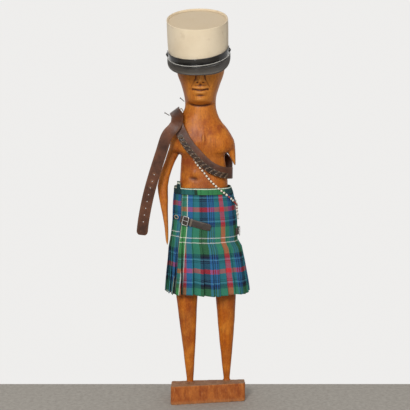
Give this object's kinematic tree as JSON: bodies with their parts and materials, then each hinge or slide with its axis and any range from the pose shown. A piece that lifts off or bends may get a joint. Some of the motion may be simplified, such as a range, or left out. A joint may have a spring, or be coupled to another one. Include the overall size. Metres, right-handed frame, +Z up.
{
  "type": "carved folk art figure",
  "caption": "Carved wooden folk figure of a soldier on its block, dressed in a cream kepi, a leather belt, beads and a tartan kilt.",
  "frame": {"origin": "middle of the block's underside, on the surface it stands on", "axes": "+Z up through the figure; the figure faces -Y and its own right side is at -X"},
  "size_m": [0.3038, 0.233, 1.0603],
  "materials": {
    "wood": "satin, hand carved",
    "kepi_cloth": "stiff cotton",
    "visor_leather": "satin",
    "gloss_strap": "glossy",
    "belt_leather": "worn satin",
    "beads": "gloss",
    "tartan": "wool twill",
    "strap_leather": "satin",
    "steel": "dull"
  },
  "bodies": {
    "root": {"figure": "wood", "kepi_crown": "kepi_cloth", "kepi_visor": "visor_leather", "kepi_chin_strap": "gloss_strap", "kepi_button_right": "gloss_strap", "kepi_button_left": "gloss_strap", "belt": "belt_leather", "belt_lacing": "belt_leather", "bead_string": "beads", "kilt": "tartan", "kilt_strap_right": "strap_leather", "kilt_strap_left": "strap_leather", "kilt_buckle_right": "steel", "kilt_buckle_left": "steel", "nail_neck": "steel", "nail_shoulder": "steel"}
  },
  "joints": []
}
